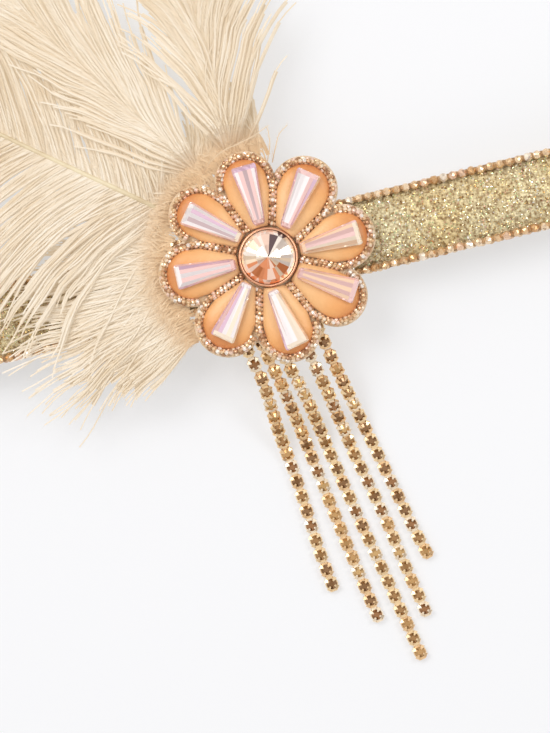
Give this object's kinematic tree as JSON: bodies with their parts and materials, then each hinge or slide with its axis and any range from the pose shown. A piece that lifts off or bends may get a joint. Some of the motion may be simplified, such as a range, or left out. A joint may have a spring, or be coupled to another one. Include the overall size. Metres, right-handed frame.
{
  "type": "feather headband",
  "caption": "Soft glitter headband with a jewelled flower, a cream feather plume and a crystal cup-chain fringe, lying flat on its back.",
  "frame": {"origin": "on the band's inner face, behind the middle of the flower, where the band lies on the wearer's head", "axes": "+X along the band, +Z out of the flower's face, -Y the way the fringe falls"},
  "size_m": [0.3057, 0.2962, 0.0239],
  "materials": {
    "glitter_ribbon": "glitter",
    "champagne_beads": "metallic lined",
    "cream_felt": "matt",
    "peach_satin": "satin",
    "crystal": "faceted, foil backed",
    "rose_gold": "polished",
    "gold_cup_chain": "polished, with crystal stones",
    "cream_feather": "downy"
  },
  "bodies": {
    "root": {"band": "glitter_ribbon", "edge_trim_upper": "champagne_beads", "edge_trim_lower": "champagne_beads", "flower_backing": "cream_felt", "petal_pad_1": "peach_satin", "petal_pad_2": "peach_satin", "petal_pad_3": "peach_satin", "petal_pad_4": "peach_satin", "petal_pad_5": "peach_satin", "petal_pad_6": "peach_satin", "petal_pad_7": "peach_satin", "petal_pad_8": "peach_satin", "petal_trim_1": "champagne_beads", "petal_trim_2": "champagne_beads", "petal_trim_3": "champagne_beads", "petal_trim_4": "champagne_beads", "petal_trim_5": "champagne_beads", "petal_trim_6": "champagne_beads", "petal_trim_7": "champagne_beads", "petal_trim_8": "champagne_beads", "petal_stone_1": "crystal", "petal_stone_2": "crystal", "petal_stone_3": "crystal", "petal_stone_4": "crystal", "petal_stone_5": "crystal", "petal_stone_6": "crystal", "petal_stone_7": "crystal", "petal_stone_8": "crystal", "centre_stone": "crystal", "centre_bezel": "rose_gold", "strand_1": "gold_cup_chain", "strand_2": "gold_cup_chain", "strand_3": "gold_cup_chain", "strand_4": "gold_cup_chain", "strand_5": "gold_cup_chain", "feather_main": "cream_feather", "feather_middle": "cream_feather", "feather_upper": "cream_feather", "down_ruff": "cream_feather"}
  },
  "joints": []
}
